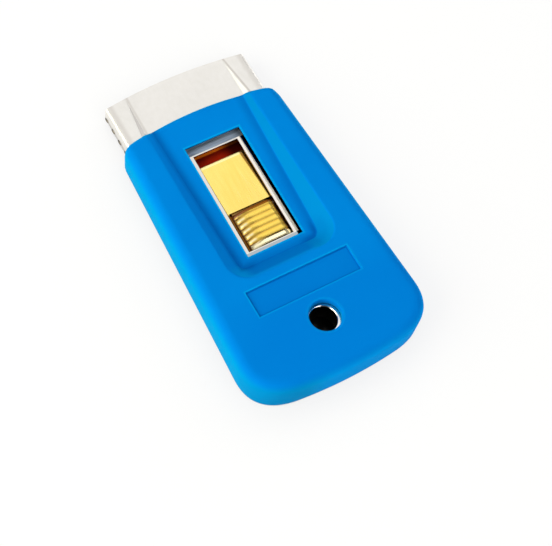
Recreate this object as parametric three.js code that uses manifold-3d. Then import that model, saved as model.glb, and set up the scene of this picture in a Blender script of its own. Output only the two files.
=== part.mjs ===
// Pocket scraper: a moulded grip cover over a pressed steel sheath, and a brass slide with a blade.
// Millimetres. The scraper lies on its back: +Z up, +Y towards the mouth, +X to its right.
import * as THREE from 'three';
import Module from 'manifold-3d';
import { mergeVertices } from 'three/addons/utils/BufferGeometryUtils.js';

const wasm = await Module();
wasm.setup();

// Whole object
const halfLength = 49.0;
const wedgeSlope = 0.04;
const seatGap = 0.3;
const cutPast = 20;

// Blade and how it is held
const bladeHalf = 20;
const bladeDepth = 18.5;
const bladeSheet = 0.25;
const bladeSetback = 4.7;
const bevelDepth = 1.4;
const edgeFlat = 0.02;
const spineSheet = 0.35;
const spineDepth = 4.8;
const spineInset = 1.0;
const spineRound = 0.2;
const clipInset = 8.5;
const clipHalf = 3.5;
const clipSheet = 0.4;
const clipOverlap = 3.5;
const rivetHead = 0.9;
const rivetHeadHeight = 0.45;
const rivetShank = 0.5;
const rivetGap = 0.05;

// Steel sheath
const sheet = 0.6;
const bladeSideRoom = 0.9;
const lipHeight = 4.7;
const lipBow = 1.6;
const foldRadius = 1.2;
const sheathCorner = 8;
const sidePanel = 6.4;
const channelSlope = 0.02;
const channelFlare = 1.5;
const channelEndStep = 2.4;
const backPlateGap = 0.1;
const windowSideRoom = 0.4;
const steelHoleRadius = 3.85;
const backHoleRadius = 3.6;
const crimpPitch = 3.9;
const crimpCount = 4;
const crimpRadius = 0.4;
const crimpLength = 1.0;
const crimpStand = 0.25;
const crimpRise = 0.55;
const crimpFirst = 1.0;

// Grip cover
const floorSkin = 1.0;
const backSkin = 5.3;
const sideSkin = 2.4;
const coverSkin = 2.34;
const troughSkin = 2.12;
const cavityRoom = 0.35;
const steelShown = 12.9;
const coverSpread = 2.6;
const frontCornerRun = 4.6;
const frontCornerDrop = 0.7;
const frontBow = 1.95;
const backCornerRun = 11.5;
const backCornerRise = 1.6;
const backCornerOut = 0.45;
const backBow = 0.85;
const coverTopRound = 3.3;
const coverBottomRound = 1.2;
const troughSpread = 0.8;
const troughCorner = 6.5;
const troughLean = 5;
const troughToPanel = 2.6;
const windowToTrough = 7.0;
const rimSide = 1.45;
const rimFront = 2.1;
const rimBack = 2.2;
const panelHalf = 15.15;
const panelLength = 7.7;
const panelDepth = 0.45;
const panelToHole = 7.1;
const holeInset = 14.8;
const coverHoleRadius = 4.1;
const holeChamfer = 0.45;

// Brass slide and its button
const slideHalf = 6.4;
const slideSheet = 0.6;
const slideRound = 0.8;
const flangeDrop = 1.3;
const bendToBlade = 5.3;
const bendToWindow = 3.4;
const bendHeight = 1.2;
const rampRun = 3.6;
const tongueSheet = 0.5;
const tongueSideRoom = 0.7;
const tongueReach = 4.2;
const slideTail = 2.05;
const padStop = 0.25;
const padLength = 11.75;
const padHeight = 1.7;
const padSideGap = 0.35;
const padFrontGap = 0.6;
const padEdge = 0.5;
const ribCount = 6;
const ribDepth = 0.45;
const ribCrown = 0.42;
const leafSheet = 0.3;
const leafSideGap = 0.7;
const leafTail = 1.45;
const leafInset = 2.2;

// Places that follow from these sizes, across the sheath and along it
const sheathHalf = bladeHalf + bladeSideRoom + sheet;
const channelFoot = sheathHalf - sidePanel;
const troughHalf = channelFoot + troughSpread;
const coverFrontHalf = sheathHalf + sideSkin;
const coverBackHalf = coverFrontHalf + coverSpread;
const steelWindowHalf = slideHalf + windowSideRoom;
const coverWindowHalf = steelWindowHalf + rimSide;
const clipX = bladeHalf - clipInset;
const padHalf = slideHalf - slideSheet - padSideGap;
const leafHalf = slideHalf - slideSheet - leafSideGap;
const tongueHalf = sheathHalf - sheet - tongueSideRoom;
const lipCornerY = halfLength - lipBow;
const coverFrontY = halfLength - steelShown;
const bladeEdge = halfLength - bladeSetback;
const bladeRear = bladeEdge - bladeDepth;
const spineRear = bladeRear - spineSheet;
const slideBend = bladeRear - bendToBlade;
const rampEnd = slideBend + rampRun;
const tongueFront = bladeRear + tongueReach;
const steelWindowFront = slideBend + bendToWindow;
const coverWindowFront = steelWindowFront + rimFront;
const sheathBack = backSkin - halfLength;
const holeY = holeInset - halfLength;
const panelBack = holeY + panelToHole;
const panelFront = panelBack + panelLength;
const troughEnd = panelFront + troughToPanel;
const channelEnd = troughEnd + channelEndStep;
const coverWindowBack = troughEnd + windowToTrough;
const steelWindowBack = coverWindowBack + rimBack;
const padRear = steelWindowBack + padStop;
const padFront = padRear + padLength;
const plateRear = padFront + padFrontGap;
const slideRear = padRear - slideTail;
const leafRear = padRear - leafTail;
const leafFront = slideBend - leafInset;
const clipRear = slideBend + seatGap;
const clipRiser = spineRear - seatGap - clipSheet;
const rivetY = (clipRear + clipRiser) / 2;

// Heights, from the floor of the cover up
const sheathBottom = floorSkin;
const lipTop = sheathBottom + lipHeight;
const tongueBottom = sheathBottom + sheet + seatGap;
const tongueTop = tongueBottom + tongueSheet;
const slideTop = tongueTop + bendHeight;
const leafTop = slideTop - slideSheet;
const padTop = leafTop + padHeight;
const bladeBottom = tongueTop + spineSheet;
const bladeTop = bladeBottom + bladeSheet;
const spineTop = bladeTop + spineSheet;
const sheathTop = (y) => lipTop + wedgeSlope * (lipCornerY - y);
const channelFloor = (y) => lipTop - channelSlope * (lipCornerY - y);
const coverTop = (y) => sheathTop(y) + coverSkin;
const troughFloor = (y) => channelFloor(y) + troughSkin;

function solid(geometry) {
  const bare = geometry.index ? geometry.toNonIndexed() : geometry;
  bare.deleteAttribute('normal');
  bare.deleteAttribute('uv');
  const merged = mergeVertices(bare, 1e-4);
  const vertProperties = new Float32Array(merged.attributes.position.array);
  const triVerts = new Uint32Array(merged.index.array);
  const mesh = new wasm.Mesh({ numProp: 3, vertProperties, triVerts });
  mesh.merge();
  return new wasm.Manifold(mesh);
}

function box(x0, x1, y0, y1, z0, z1) {
  const geometry = new THREE.BoxGeometry(x1 - x0, y1 - y0, z1 - z0);
  geometry.translate((x0 + x1) / 2, (y0 + y1) / 2, (z0 + z1) / 2);
  return solid(geometry);
}

function extrude(shape, depth, segments) {
  return new THREE.ExtrudeGeometry(shape, { depth, bevelEnabled: false, curveSegments: segments });
}

// A shape drawn in Y and Z, run across X.
function acrossX(points, x0, x1) {
  const shape = new THREE.Shape(points.map(([y, z]) => new THREE.Vector2(y, z)));
  const geometry = extrude(shape, x1 - x0, 1);
  const turn = new THREE.Matrix4().makeBasis(
    new THREE.Vector3(0, 1, 0), new THREE.Vector3(0, 0, 1), new THREE.Vector3(1, 0, 0));
  geometry.applyMatrix4(turn);
  geometry.translate(x0, 0, 0);
  return solid(geometry);
}

// A shape drawn in X and Z, run along Y, each point lifted by its place along the run.
function alongY(shape, y0, y1, lift = () => 0) {
  const geometry = extrude(shape, y1 - y0, 6);
  const turn = new THREE.Matrix4().makeBasis(
    new THREE.Vector3(1, 0, 0), new THREE.Vector3(0, 0, 1), new THREE.Vector3(0, -1, 0));
  geometry.applyMatrix4(turn);
  geometry.translate(0, y1, 0);
  return solid(moveHeights(geometry, (y, z) => z + lift(y)));
}

function plate(shape, z0, z1) {
  const geometry = extrude(shape, z1 - z0, 14);
  geometry.translate(0, 0, z0);
  return solid(geometry);
}

function cone(x, y, lowRadius, highRadius, z0, z1, sides) {
  const geometry = new THREE.CylinderGeometry(highRadius, lowRadius, z1 - z0, sides);
  geometry.rotateX(Math.PI / 2);
  geometry.translate(x, y, (z0 + z1) / 2);
  return solid(geometry);
}

function post(x, y, radius, z0, z1, sides = 40) {
  return cone(x, y, radius, radius, z0, z1, sides);
}

function moveHeights(geometry, height) {
  const place = geometry.attributes.position;
  for (let i = 0; i < place.count; i += 1) {
    place.setZ(i, height(place.getY(i), place.getZ(i)));
  }
  return geometry;
}

// Plan of the sheath: bowed lip in front, rounded corners behind; reach carries the lip further out.
function sheathPlan(inset, reach = 0) {
  const half = sheathHalf - inset;
  const back = sheathBack + inset;
  const corner = sheathCorner - inset;
  const lip = lipCornerY - inset + reach;
  const shape = new THREE.Shape();
  shape.moveTo(-half, back + corner);
  shape.quadraticCurveTo(-half, back, -half + corner, back);
  shape.lineTo(half - corner, back);
  shape.quadraticCurveTo(half, back, half, back + corner);
  shape.lineTo(half, lip);
  shape.quadraticCurveTo(0, lip + 2 * lipBow, -half, lip);
  shape.closePath();
  return shape;
}

// The wedge that the sheath fills, with its folded edges rounded.
function sheathWedge(grow, bottom) {
  const half = sheathHalf + grow;
  const round = foldRadius + grow;
  const top = lipTop + grow;
  const section = new THREE.Shape();
  section.moveTo(-half, -cutPast);
  section.lineTo(half, -cutPast);
  section.lineTo(half, top - round);
  section.absarc(half - round, top - round, round, 0, Math.PI / 2, false);
  section.absarc(-half + round, top - round, round, Math.PI / 2, Math.PI, false);
  const back = sheathBack - cutPast;
  const front = halfLength + cutPast;
  const wedge = alongY(section, back, front, (y) => sheathTop(y) - lipTop);
  return wedge.intersect(box(-half - 1, half + 1, back, front, bottom, cutPast));
}

// The sunk middle of the sheath's front, from the lip to behind the window.
function sheathChannel(grow) {
  const foot = channelFoot - grow;
  const rise = cutPast / 2;
  const wide = foot + channelFlare * rise;
  const section = new THREE.Shape();
  section.moveTo(-foot, grow);
  section.lineTo(foot, grow);
  section.lineTo(wide, grow + rise);
  section.lineTo(-wide, grow + rise);
  section.closePath();
  const end = channelEnd + grow;
  const front = halfLength + cutPast;
  const run = alongY(section, end - cutPast, front, channelFloor);
  const slope = acrossX([[end, 0], [end, channelFloor(end)], [end - cutPast, channelFloor(end) + cutPast],
    [front, cutPast * 2], [front, 0]], -wide, wide);
  return run.intersect(slope);
}

function sheathBody(grow, bottom) {
  return sheathWedge(grow, bottom).subtract(sheathChannel(grow));
}

function sheathFront() {
  const inside = sheathBody(-sheet, -cutPast).intersect(plate(sheathPlan(sheet, cutPast), -cutPast, cutPast));
  let shell = sheathBody(0, sheathBottom).intersect(plate(sheathPlan(0), sheathBottom, cutPast));
  shell = shell.subtract(inside);
  shell = shell.subtract(
    box(-steelWindowHalf, steelWindowHalf, steelWindowBack, steelWindowFront, slideTop, cutPast));
  shell = shell.subtract(post(0, holeY, steelHoleRadius, -cutPast, cutPast));
  for (let i = 0; i < crimpCount; i += 1) {
    for (const side of [-1, 1]) {
      const crimp = new THREE.CapsuleGeometry(crimpRadius, crimpLength, 2, 8);
      const y = lipCornerY - crimpFirst - i * crimpPitch;
      crimp.translate(side * (sheathHalf + crimpStand - crimpRadius), y, sheathBottom + crimpRise);
      shell = shell.add(solid(crimp));
    }
  }
  return shell;
}

function sheathRear() {
  const flat = plate(sheathPlan(sheet + backPlateGap), sheathBottom, sheathBottom + sheet);
  return flat.subtract(post(0, holeY, backHoleRadius, -cutPast, cutPast));
}

// Plan of the cover: bowed front, sides that spread towards the back, bowed back with large corners.
function coverPlan() {
  const shape = new THREE.Shape();
  const frontX = coverFrontHalf - frontCornerRun;
  const frontY = coverFrontY - frontBow;
  const cornerY = frontY - frontCornerDrop;
  const sideFront = frontY - frontCornerRun;
  const backX = coverBackHalf - backCornerRun;
  const backY = backBow - halfLength;
  const sideBack = backY + backCornerRun + backCornerRise / 2;
  const outX = coverBackHalf + backCornerOut;
  shape.moveTo(-frontX, frontY);
  shape.quadraticCurveTo(-coverFrontHalf, cornerY, -coverFrontHalf, sideFront);
  shape.lineTo(-coverBackHalf, sideBack);
  shape.quadraticCurveTo(-outX, backY + backCornerRise, -backX, backY);
  shape.quadraticCurveTo(0, -backBow - halfLength, backX, backY);
  shape.quadraticCurveTo(outX, backY + backCornerRise, coverBackHalf, sideBack);
  shape.lineTo(coverFrontHalf, sideFront);
  shape.quadraticCurveTo(coverFrontHalf, cornerY, frontX, frontY);
  shape.quadraticCurveTo(0, coverFrontY + frontBow, -frontX, frontY);
  return shape;
}

function coverBlock() {
  const round = coverTopRound;
  const middle = coverTopRound;
  const height = middle + 2 * round;
  const geometry = new THREE.ExtrudeGeometry(coverPlan(), { depth: middle, bevelThickness: round,
    bevelSize: round, bevelOffset: -round, bevelSegments: 6, curveSegments: 10 });
  geometry.translate(0, 0, round);
  moveHeights(geometry, (y, z) => {
    if (z < round) return z * coverBottomRound / round;
    if (z > height - round) return coverTop(y) - (height - z);
    const share = (z - round) / middle;
    return coverBottomRound + share * (coverTop(y) - round - coverBottomRound);
  });
  return solid(geometry);
}

// The sunk run that the thumb follows: walls that lean, a floor that follows the steel below.
function coverTrough() {
  const front = halfLength + cutPast;
  const turn = troughEnd + troughCorner;
  const shape = new THREE.Shape();
  shape.moveTo(-troughHalf, turn);
  shape.absarc(-troughHalf + troughCorner, turn, troughCorner, Math.PI, Math.PI * 1.5, false);
  shape.absarc(troughHalf - troughCorner, turn, troughCorner, -Math.PI / 2, 0, false);
  shape.lineTo(troughHalf, front);
  shape.lineTo(-troughHalf, front);
  const geometry = new THREE.ExtrudeGeometry(shape, { depth: cutPast, bevelThickness: troughLean,
    bevelSize: troughLean, bevelOffset: -troughLean, bevelSegments: 1, curveSegments: 8 });
  moveHeights(geometry, (y, z) => z + coverTop(y));
  const back = troughEnd - cutPast;
  const above = acrossX([[back, troughFloor(back)], [front, troughFloor(front)], [front, cutPast * 2],
    [back, cutPast * 2]], -troughHalf - 1, troughHalf + 1);
  return solid(geometry).intersect(above);
}

function gripCover() {
  const roomPlan = plate(sheathPlan(-cavityRoom, cutPast), 0, cutPast);
  const room = sheathBody(seatGap, sheathBottom).intersect(roomPlan);
  let cover = coverBlock().subtract(coverTrough()).subtract(room);
  cover = cover.subtract(
    box(-coverWindowHalf, coverWindowHalf, coverWindowBack, coverWindowFront, slideTop, cutPast));
  const sunk = (y) => coverTop(y) - panelDepth;
  cover = cover.subtract(acrossX([[panelBack, sunk(panelBack)], [panelFront, sunk(panelFront)],
    [panelFront, cutPast], [panelBack, cutPast]], -panelHalf, panelHalf));
  cover = cover.subtract(post(0, holeY, coverHoleRadius, -cutPast, cutPast));
  const rim = coverTop(holeY);
  return cover.subtract(cone(0, holeY, coverHoleRadius, coverHoleRadius + 2 * holeChamfer,
    rim - holeChamfer, rim + holeChamfer, 40));
}

// A shallow inverted channel with rounded long edges, open at the rear where the pad stands.
function slideChannel() {
  const low = slideTop - flangeDrop;
  const inner = slideHalf - slideSheet;
  const edge = slideHalf - slideRound;
  const section = new THREE.Shape();
  section.moveTo(-slideHalf, low);
  section.lineTo(-inner, low);
  section.lineTo(-inner, leafTop);
  section.lineTo(inner, leafTop);
  section.lineTo(inner, low);
  section.lineTo(slideHalf, low);
  section.absarc(edge, slideTop - slideRound, slideRound, 0, Math.PI / 2, false);
  section.absarc(-edge, slideTop - slideRound, slideRound, Math.PI / 2, Math.PI, false);
  const channel = alongY(section, slideRear, slideBend);
  return channel.subtract(box(-inner, inner, slideRear - 1, plateRear, low - 1, slideTop + 1));
}

function slidePlate() {
  const rampHalf = slideHalf - slideRound;
  const ramp = acrossX([[slideBend - slideSheet, leafTop], [rampEnd - slideSheet, tongueBottom],
    [tongueFront, tongueBottom], [tongueFront, tongueTop], [rampEnd, tongueTop], [slideBend, slideTop],
    [slideBend - slideSheet, slideTop]], -rampHalf, rampHalf);
  const earNear = rampHalf + 2 * seatGap;
  let body = slideChannel().add(ramp);
  body = body.add(box(-tongueHalf, tongueHalf, rampEnd, tongueFront, tongueBottom, tongueTop));
  for (const side of [-1, 1]) {
    const middle = side * (tongueHalf + earNear) / 2;
    const half = (tongueHalf - earNear) / 2;
    body = body.add(box(middle - half, middle + half, clipRear, tongueFront, tongueBottom, tongueTop));
    body = body.subtract(post(side * clipX, rivetY, rivetShank + rivetGap, 0, cutPast, 16));
  }
  return body;
}

// Ribs run across; the ends of each turn down, and the rear end is a rounded nose.
function thumbPad() {
  const pitch = padLength / (ribCount + 1);
  const valley = padTop - ribDepth;
  const side = new THREE.Shape();
  side.moveTo(padFront, leafTop);
  side.lineTo(padFront, valley);
  for (let i = 0; i < ribCount; i += 1) {
    const near = padFront - i * pitch;
    side.quadraticCurveTo(near - pitch / 2, padTop + ribCrown, near - pitch, valley);
  }
  side.bezierCurveTo(padRear + pitch, padTop + ribCrown / 2, padRear, padTop, padRear, leafTop + padEdge);
  side.lineTo(padRear, leafTop);
  const ribs = acrossX(side.getPoints(5).map((point) => [point.x, point.y]), -padHalf, padHalf);
  const shoulder = padHalf - 2 * padEdge;
  const crown = new THREE.Shape();
  crown.moveTo(-padHalf, leafTop);
  crown.lineTo(padHalf, leafTop);
  crown.lineTo(padHalf, leafTop + padEdge);
  crown.bezierCurveTo(padHalf, padTop, shoulder, padTop, 0, padTop);
  crown.bezierCurveTo(-shoulder, padTop, -padHalf, padTop, -padHalf, leafTop + padEdge);
  return ribs.intersect(alongY(crown, padRear - 1, padFront + 1));
}

function lockSpring() {
  return box(-leafHalf, leafHalf, leafRear, leafFront, leafTop - leafSheet, leafTop);
}

function blade() {
  const middle = (bladeBottom + bladeTop) / 2;
  const ground = bladeEdge - bevelDepth;
  return acrossX([[bladeRear, bladeBottom], [ground, bladeBottom], [bladeEdge, middle - edgeFlat / 2],
    [bladeEdge, middle + edgeFlat / 2], [ground, bladeTop], [bladeRear, bladeTop]], -bladeHalf, bladeHalf);
}

function bladeSpine() {
  const half = bladeHalf - spineInset;
  const front = spineRear + spineDepth;
  const fold = acrossX([[spineRear + spineRound, tongueTop], [front, tongueTop], [front, spineTop],
    [spineRear + spineRound, spineTop], [spineRear, spineTop - spineRound],
    [spineRear, tongueTop + spineRound]], -half, half);
  return fold.subtract(box(-bladeHalf, bladeHalf, bladeRear, bladeEdge, bladeBottom, bladeTop));
}

function bladeClip(side) {
  const over = spineTop + clipSheet;
  const base = tongueTop + clipSheet;
  const tip = bladeRear + clipOverlap;
  const inner = clipRiser + clipSheet;
  const strip = acrossX([[clipRear, tongueTop], [inner, tongueTop], [inner, spineTop], [tip, spineTop],
    [tip, over], [clipRiser, over], [clipRiser, base], [clipRear, base]],
  side * clipX - clipHalf, side * clipX + clipHalf);
  return strip.subtract(post(side * clipX, rivetY, rivetShank + rivetGap, 0, cutPast, 16));
}

function clipRivet(side) {
  const x = side * clipX;
  const base = tongueTop + clipSheet;
  const shank = post(x, rivetY, rivetShank, tongueBottom, base + rivetHeadHeight / 2, 16);
  return shank.add(post(x, rivetY, rivetHead, base, base + rivetHeadHeight, 20));
}

function piece(name, body, color, metalness, roughness) {
  const mesh = body.getMesh();
  const geometry = new THREE.BufferGeometry();
  geometry.setAttribute('position', new THREE.BufferAttribute(new Float32Array(mesh.vertProperties), 3));
  geometry.setIndex(new THREE.BufferAttribute(new Uint32Array(mesh.triVerts), 1));
  geometry.computeVertexNormals();
  const made = new THREE.Mesh(geometry, new THREE.MeshStandardMaterial({ color, metalness, roughness }));
  made.name = name;
  return made;
}

const group = new THREE.Group();
group.name = 'pocket_scraper';
group.add(piece('grip_cover', gripCover(), 0x0082d7, 0, 0.5));
group.add(piece('sheath_front', sheathFront(), 0xe0ddd8, 1, 0.35));
group.add(piece('sheath_back', sheathRear(), 0xd8d6d2, 1, 0.4));
group.add(piece('slide_plate', slidePlate(), 0xe8bf55, 1, 0.25));
group.add(piece('lock_spring', lockSpring(), 0xb9bcc0, 1, 0.3));
group.add(piece('thumb_pad', thumbPad(), 0xe3b548, 1, 0.25));
group.add(piece('blade', blade(), 0xc8ccd0, 1, 0.2));
group.add(piece('blade_spine', bladeSpine(), 0xaeb3b8, 1, 0.4));
group.add(piece('blade_clip_left', bladeClip(-1), 0xe8bf55, 1, 0.3));
group.add(piece('blade_clip_right', bladeClip(1), 0xe8bf55, 1, 0.3));
group.add(piece('clip_rivet_left', clipRivet(-1), 0xd2a848, 1, 0.35));
group.add(piece('clip_rivet_right', clipRivet(1), 0xd2a848, 1, 0.35));

export default group;
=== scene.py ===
import math

import bmesh
import bpy
import numpy as np
from mathutils import Matrix, Vector


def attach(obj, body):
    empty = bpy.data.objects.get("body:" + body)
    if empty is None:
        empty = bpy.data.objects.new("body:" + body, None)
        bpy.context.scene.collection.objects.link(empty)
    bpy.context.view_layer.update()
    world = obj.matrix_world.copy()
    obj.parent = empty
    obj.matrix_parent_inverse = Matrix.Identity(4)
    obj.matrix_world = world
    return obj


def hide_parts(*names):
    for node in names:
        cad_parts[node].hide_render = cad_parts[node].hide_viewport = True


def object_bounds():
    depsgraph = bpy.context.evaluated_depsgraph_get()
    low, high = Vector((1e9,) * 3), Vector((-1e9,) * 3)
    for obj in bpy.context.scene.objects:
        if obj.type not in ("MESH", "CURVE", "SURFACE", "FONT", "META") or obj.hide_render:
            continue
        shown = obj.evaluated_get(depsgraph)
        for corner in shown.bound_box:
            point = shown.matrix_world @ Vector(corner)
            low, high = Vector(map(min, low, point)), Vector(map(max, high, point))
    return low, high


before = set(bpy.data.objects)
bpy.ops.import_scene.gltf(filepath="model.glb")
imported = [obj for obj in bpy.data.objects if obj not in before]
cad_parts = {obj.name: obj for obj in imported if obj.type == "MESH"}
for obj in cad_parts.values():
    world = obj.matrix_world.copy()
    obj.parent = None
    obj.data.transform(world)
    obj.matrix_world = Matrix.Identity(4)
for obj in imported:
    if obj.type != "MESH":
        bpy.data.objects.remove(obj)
cad_low, cad_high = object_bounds()
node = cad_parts

# Sizes in millimetres: those of the solids, a few moved by up to about a millimetre to follow the photo
MM = 0.001
HALF_LENGTH = 49.0
WEDGE_SLOPE = 0.04
SHEET = 0.6
SHEATH_HALF = 21.5
SHEATH_BOTTOM = 1.0
SHEATH_BACK = -43.7
SHEATH_CORNER = 8.0
LIP_BOW = 1.6
LIP_CORNER = HALF_LENGTH - LIP_BOW
LIP_TOP = 5.7
BOW_START = 30.0
FOLD_RADIUS = 1.2
CREASE_RADIUS = 0.16
CHANNEL_FOOT = 15.1
CHANNEL_FLARE = 2.0
CHANNEL_SLOPE = 0.02
CHANNEL_END = -14.4
STEEL_WINDOW = (6.8, -7.6, 23.9)
STEEL_HOLE = 3.75
STEEL_HOLE_X = -0.45
STEEL_HOLE_Y = -0.05
CRIMP_COUNT = 4
CRIMP_PITCH = 3.9
CRIMP_FIRST = 1.0
CRIMP_RISE = 0.55
CRIMP_LENGTH = 2.1
CRIMP_RADIUS = 0.46
CRIMP_SUNK = 0.15
COVER_FRONT = 36.1
COVER_FRONT_HALF = 23.9
COVER_BACK_HALF = 26.5
FRONT_CORNER_RUN = 4.6
FRONT_CORNER_DROP = 0.7
FRONT_BOW = 1.95
BACK_CORNER_RUN = 11.5
BACK_CORNER_RISE = 1.6
BACK_CORNER_OUT = 0.45
BACK_BOW = 0.85
COVER_SKIN = 2.34
TROUGH_SKIN = 2.12
SEAT_GAP = 0.3
SIDE_ROUND = 3.3
FRONT_ROUND = 1.9
BOTTOM_ROUND = 1.2
TROUGH_HALF = 15.9
TROUGH_END = -16.8
TROUGH_CORNER = 6.5
TROUGH_BLEND = 0.3
WALL_RUN = 1.4
WALL_RUN_SHARE = 0.7
WALL_RUN_REAR = 0.5
REAR_WALL_FROM = -8.0
REAR_WALL_BLEND = 5.0
FOOT_DEPTH = (WEDGE_SLOPE + CHANNEL_SLOPE) * LIP_CORNER + COVER_SKIN - TROUGH_SKIN
FOOT_SLOPE = WALL_RUN_SHARE * (WEDGE_SLOPE + CHANNEL_SLOPE)
FOOT_HALF = TROUGH_HALF - WALL_RUN - WALL_RUN_SHARE * FOOT_DEPTH
FOOT_REAR = TROUGH_END + 4.6
TOP_LEVEL = LIP_TOP + WEDGE_SLOPE * LIP_CORNER + COVER_SKIN
LIP_LEVEL = LIP_TOP - CHANNEL_SLOPE * LIP_CORNER + TROUGH_SKIN
COVER_WINDOW = (8.25, -9.4, 26.0)
WINDOW_LIP = 0.5
WINDOW_UNDERCUT = 2.6
PANEL_HALF = 15.15
PANEL_BACK = -27.1
PANEL_FRONT = -19.4
PANEL_DEPTH = 0.45
PANEL_RAMP = 0.22
HOLE_Y = -34.2
COVER_HOLE = 4.28
HOLE_ROUND = 0.45
HOLE_SIDES = 72
SLIDE_HALF = 6.55
SLIDE_RIGHT = 7.4
SLIDE_SHEET = 0.6
SLIDE_ROUND = 0.6
SLIDE_TOP = 3.6
FLANGE_LOW = 2.3
SLIDE_REAR = -9.4
PLATE_REAR = 5.0
RAIL_OVERLAP = 0.4
SLIDE_BEND = 20.5
RAMP_END = 24.1
TONGUE_HALF = 20.2
TONGUE_TOP = 2.4
TONGUE_BOTTOM = 1.9
TONGUE_FRONT = 30.0
TONGUE_SHEET = 0.5
EAR_NEAR = 6.2
EAR_REAR = 20.8
BEND_RUN = 0.4
PAD_HALF = 5.75
PAD_RIGHT = 6.65
PAD_REAR = -7.35
PAD_FRONT = 4.4
PAD_FOOT = 3.0
PAD_TOP = 4.7
RIB_COUNT = 6
RIB_DEPTH = 0.34
PAD_POINTS_ACROSS = 57
PAD_POINTS_ALONG = 241

# The grid that the cover's skin is drawn on
GRID_HALF = 21.5
GRID_FRONT = 32.0
GRID_BACK = -44.5
GRID_STILL_X = 17.0
GRID_STILL_FRONT = 27.0
GRID_STILL_BACK = -37.0
COARSE = 0.7
FINE = 0.2
WALL_NEAR = 10.6
WALL_FAR = 16.6
WALL_REAR = -9.0
LINE_ROOM = 0.12
EDGE_MARGIN = 0.02
RIM_SHARES = (0.86, 0.72, 0.58, 0.45, 0.33, 0.23, 0.14, 0.07, 0.02, 0.0)


def linear(red, green, blue):
    """A colour written as 0 to 255 on screen, as the shader wants it."""
    return tuple((c / 255 / 12.92) if c <= 10 else ((c / 255 + 0.055) / 1.055) ** 2.4
                 for c in (red, green, blue)) + (1.0,)


# Blues painted on the cover as light and shade: pale for painted highlights, deep for painted shade
HIGHLIGHT_BLUE = linear(0, 160, 228)
SHADE_BLUE = linear(0, 84, 170)


def sheath_top(y):
    return LIP_TOP + WEDGE_SLOPE * (LIP_CORNER - y)


def channel_floor(y):
    return LIP_TOP - CHANNEL_SLOPE * (LIP_CORNER - y)


def cover_top(y):
    return sheath_top(y) + COVER_SKIN


def trough_floor(y):
    return channel_floor(y) + TROUGH_SKIN


# Mesh helpers
def make_object(name, points, faces, tidy=True):
    """A mesh object from points in millimetres."""
    mesh = bpy.data.meshes.new(name)
    mesh.from_pydata([tuple(c * MM for c in p) for p in points], [], faces)
    made = bpy.data.objects.new(name, mesh)
    bpy.context.scene.collection.objects.link(made)
    if tidy:
        work = bmesh.new()
        work.from_mesh(mesh)
        bmesh.ops.remove_doubles(work, verts=work.verts, dist=1e-7)
        bmesh.ops.recalc_face_normals(work, faces=work.faces)
        work.to_mesh(mesh)
        work.free()
    return made


def settle(made):
    """Turns the object with its modifiers into a plain mesh."""
    view = bpy.context.evaluated_depsgraph_get()
    view.update()
    mesh = bpy.data.meshes.new_from_object(made.evaluated_get(view))
    old = made.data
    made.modifiers.clear()
    made.data = mesh
    mesh.name = made.name
    bpy.data.meshes.remove(old)
    return made


def carve(body, tool, operation="DIFFERENCE"):
    change = body.modifiers.new("carve", "BOOLEAN")
    change.object = tool
    change.operation = operation
    change.solver = "EXACT"
    settle(body)
    bpy.data.objects.remove(tool, do_unlink=True)


def within(made):
    """Keeps a piece inside the box of the solids."""
    for point in made.data.vertices:
        for axis in range(3):
            point.co[axis] = min(max(point.co[axis], cad_low[axis]), cad_high[axis])
    return made


def smooth(made, degrees):
    made.data.shade_smooth()
    made.data.set_sharp_from_angle(angle=math.radians(degrees))
    return made


def loft(name, rings, closed_ring=True):
    """A skin over rings with equal numbers of points; closed rings also get filled ends."""
    count = len(rings[0])
    points = [p for ring in rings for p in ring]
    faces = []
    last = count if closed_ring else count - 1
    for k in range(len(rings) - 1):
        for i in range(last):
            j = (i + 1) % count
            faces.append((k * count + i, k * count + j, (k + 1) * count + j, (k + 1) * count + i))
    if closed_ring:
        faces.append(tuple(range(count)))
        faces.append(tuple(range((len(rings) - 1) * count, len(rings) * count)))
    return make_object(name, points, faces)


def curve_point(a, b, c, t):
    return (1 - t) ** 2 * np.array(a) + 2 * t * (1 - t) * np.array(b) + t * t * np.array(c)


def rounded(points, radii, steps):
    """The same open line with its inner corners rounded, always with the same number of points."""
    line = [np.array(p, float) for p in points]
    out = [line[0]]
    for k in range(1, len(line) - 1):
        before = line[k - 1] - line[k]
        after = line[k + 1] - line[k]
        room_before = np.linalg.norm(before)
        room_after = np.linalg.norm(after)
        run = min(radii[k - 1], 0.48 * room_before, 0.48 * room_after)
        start = line[k] + before * (run / max(room_before, 1e-9))
        end = line[k] + after * (run / max(room_after, 1e-9))
        out += [curve_point(start, line[k], end, s / steps) for s in range(steps + 1)]
    out.append(line[-1])
    return out


def filled(points, k, parts):
    """The same line with the stretch after point k divided into equal parts."""
    extra = [points[k] + (points[k + 1] - points[k]) * (n / parts) for n in range(1, parts)]
    return points[:k + 1] + extra + points[k + 1:]


def soft_max(a, b, blend):
    h = np.maximum(blend - np.abs(a - b), 0.0) / blend
    return np.maximum(a, b) + h * h * blend / 4


def ramp(value, start, run):
    t = np.clip((value - start) / run, 0.0, 1.0)
    return t * t * (3 - 2 * t)


# Grip cover
def trough_inside(x, y):
    """Distance inside the trough's upper edge, less than zero outside it."""
    qx = np.abs(x) - (TROUGH_HALF - TROUGH_CORNER)
    qy = (TROUGH_END + TROUGH_CORNER) - y
    outside = np.hypot(np.maximum(qx, 0.0), np.maximum(qy, 0.0))
    inside = np.minimum(np.maximum(qx, qy), 0.0)
    return TROUGH_CORNER - outside - inside


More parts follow.
